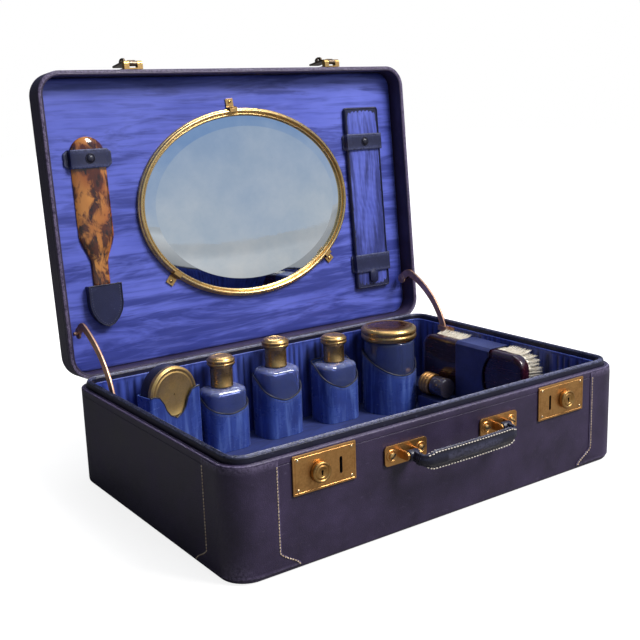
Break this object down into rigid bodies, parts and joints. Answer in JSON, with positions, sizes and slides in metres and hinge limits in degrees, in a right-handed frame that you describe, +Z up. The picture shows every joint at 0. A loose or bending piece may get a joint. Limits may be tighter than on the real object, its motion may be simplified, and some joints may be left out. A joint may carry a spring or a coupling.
{
  "type": "fitted dressing case",
  "caption": "Leather dressing case with a hinged mirror lid, stays, locks and a carrying handle, fitted with capped bottles, jars, brushes and a powder box.",
  "frame": {"origin": "middle of the base's flat underside", "axes": "+X to the right along the front, +Y from the locks to the hinges, +Z up"},
  "size_m": [0.422, 0.3711, 0.3839],
  "materials": {
    "navy_leather": "satin grained",
    "blue_leather": "satin grained",
    "blue_silk": "pleated silk",
    "moire_silk": "watered silk",
    "gilt_brass": "polished",
    "clear_glass": "clear",
    "mirror_silver": "bevelled mirror",
    "tortoiseshell": "polished",
    "oxblood_wood": "French polished",
    "white_bristle": "matt bristle"
  },
  "bodies": {
    "base": {"base_shell": "navy_leather", "base_rim": "navy_leather", "base_lining": "blue_silk", "corner_left": "navy_leather", "corner_right": "navy_leather", "lock_plate_left": "gilt_brass", "lock_plate_right": "gilt_brass", "handle_mount_left": "gilt_brass", "handle_mount_right": "gilt_brass", "hinge_leaf_base_left": "gilt_brass", "hinge_leaf_base_right": "gilt_brass", "stay_guide_left": "gilt_brass", "stay_guide_right": "gilt_brass", "bottle_holder_left": "blue_leather", "bottle_holder_middle": "blue_leather", "bottle_holder_right": "blue_leather", "jar_holder": "blue_leather", "round_box_holder": "blue_leather", "brush_rest": "blue_leather", "brush_saddle": "blue_leather"},
    "lid": {"lid_shell": "navy_leather", "lid_lining": "moire_silk", "mirror_frame": "gilt_brass", "mirror_glass": "mirror_silver", "mirror_clip_top": "gilt_brass", "mirror_clip_left": "gilt_brass", "mirror_clip_right": "gilt_brass", "horn_strap": "blue_leather", "horn_pocket": "navy_leather", "case_strap_top": "blue_leather", "case_strap_low": "blue_leather", "hinge_leaf_lid_left": "gilt_brass", "hinge_leaf_lid_right": "gilt_brass", "hasp_base_left": "gilt_brass", "hasp_base_right": "gilt_brass"},
    "left_knob": {"lock_knob_left": "gilt_brass"},
    "right_knob": {"lock_knob_right": "gilt_brass"},
    "handle": {"handle_grip": "navy_leather"},
    "left_hasp": {"hasp_left": "gilt_brass"},
    "right_hasp": {"hasp_right": "gilt_brass"},
    "left_stay": {"stay_left": "gilt_brass"},
    "right_stay": {"stay_right": "gilt_brass"},
    "shoehorn_body": {"shoehorn": "tortoiseshell"},
    "comb_case_body": {"comb_case": "moire_silk"},
    "left_bottle": {"bottle_left": "clear_glass"},
    "middle_bottle": {"bottle_middle": "clear_glass"},
    "right_bottle": {"bottle_right": "clear_glass"},
    "left_cap": {"bottle_cap_left": "gilt_brass"},
    "middle_cap": {"bottle_cap_middle": "gilt_brass"},
    "right_cap": {"bottle_cap_right": "gilt_brass"},
    "jar": {"jar_glass": "clear_glass"},
    "jar_cover": {"jar_lid": "gilt_brass"},
    "powder_box": {"round_box": "navy_leather", "round_box_lid": "gilt_brass"},
    "rear_brush": {"brush_back_rear": "oxblood_wood", "brush_bristles_rear": "white_bristle"},
    "front_brush": {"brush_back_front": "oxblood_wood", "brush_bristles_front": "white_bristle"},
    "little_jar": {"small_jar": "clear_glass", "small_jar_cap": "gilt_brass"}
  },
  "joints": [
    {"name": "lid_hinge", "type": "hinge", "parent": "base", "child": "lid", "pos_m": [0, 0.1417, 0.091], "axis": [-1, 0, 0], "range_deg": [-95, 0]},
    {"name": "left_stay_pivot", "type": "hinge", "parent": "lid", "child": "left_stay", "pos_m": [-0.1964, 0.15494, 0.13451], "axis": [-1, 0, 0], "range_deg": [0, 27.17]},
    {"name": "right_stay_pivot", "type": "hinge", "parent": "lid", "child": "right_stay", "pos_m": [0.1964, 0.15494, 0.13451], "axis": [-1, 0, 0], "range_deg": [0, 27.17]},
    {"name": "left_hasp_hinge", "type": "hinge", "parent": "lid", "child": "left_hasp", "pos_m": [-0.1149, 0.17063, 0.37807], "axis": [-1, 0, 0], "range_deg": [-184, 0]},
    {"name": "right_hasp_hinge", "type": "hinge", "parent": "lid", "child": "right_hasp", "pos_m": [0.1149, 0.17063, 0.37807], "axis": [-1, 0, 0], "range_deg": [-184, 0]},
    {"name": "left_knob_slide", "type": "slide", "parent": "base", "child": "left_knob", "axis": [-1, 0, 0], "range_m": [0, 0.004], "stiffness_N_per_m": 400},
    {"name": "right_knob_slide", "type": "slide", "parent": "base", "child": "right_knob", "axis": [1, 0, 0], "range_m": [0, 0.004], "stiffness_N_per_m": 400},
    {"name": "handle_hinge", "type": "hinge", "parent": "base", "child": "handle", "pos_m": [0, -0.1507, 0.068], "axis": [1, 0, 0], "range_deg": [-94, 70]},
    {"name": "shoehorn_slide", "type": "slide", "parent": "lid", "child": "shoehorn_body", "axis": [0, 0.0872, 0.9962], "range_m": [0, 0.045]},
    {"name": "comb_case_slide", "type": "slide", "parent": "lid", "child": "comb_case_body", "axis": [0, 0.0872, 0.9962], "range_m": [0, 0.034]},
    {"name": "left_bottle_lift", "type": "slide", "parent": "base", "child": "left_bottle", "axis": [0, 0, 1], "range_m": [0, 0.065]},
    {"name": "middle_bottle_lift", "type": "slide", "parent": "base", "child": "middle_bottle", "axis": [0, 0, 1], "range_m": [0, 0.065]},
    {"name": "right_bottle_lift", "type": "slide", "parent": "base", "child": "right_bottle", "axis": [0, 0, 1], "range_m": [0, 0.065]},
    {"name": "left_cap_lift", "type": "slide", "parent": "left_bottle", "child": "left_cap", "axis": [0, 0, 1], "range_m": [0, 0.03]},
    {"name": "middle_cap_lift", "type": "slide", "parent": "middle_bottle", "child": "middle_cap", "axis": [0, 0, 1], "range_m": [0, 0.03]},
    {"name": "right_cap_lift", "type": "slide", "parent": "right_bottle", "child": "right_cap", "axis": [0, 0, 1], "range_m": [0, 0.03]},
    {"name": "jar_lift", "type": "slide", "parent": "base", "child": "jar", "axis": [0, 0, 1], "range_m": [0, 0.067]},
    {"name": "jar_cover_lift", "type": "slide", "parent": "jar", "child": "jar_cover", "axis": [0, 0, 1], "range_m": [0, 0.014]},
    {"name": "powder_box_lift", "type": "slide", "parent": "base", "child": "powder_box", "axis": [0, 0, 1], "range_m": [0, 0.032]},
    {"name": "rear_brush_slide", "type": "slide", "parent": "base", "child": "rear_brush", "axis": [0, 1, 0], "range_m": [0, 0.036]},
    {"name": "front_brush_slide", "type": "slide", "parent": "base", "child": "front_brush", "axis": [0, -1, 0], "range_m": [0, 0.045]},
    {"name": "little_jar_lift", "type": "slide", "parent": "base", "child": "little_jar", "axis": [0, 0, 1], "range_m": [0, 0.06]}
  ],
  "couplings": [
    {"joint": "left_stay_pivot", "follows": "lid_hinge", "ratio": -0.286},
    {"joint": "right_stay_pivot", "follows": "lid_hinge", "ratio": -0.286}
  ]
}
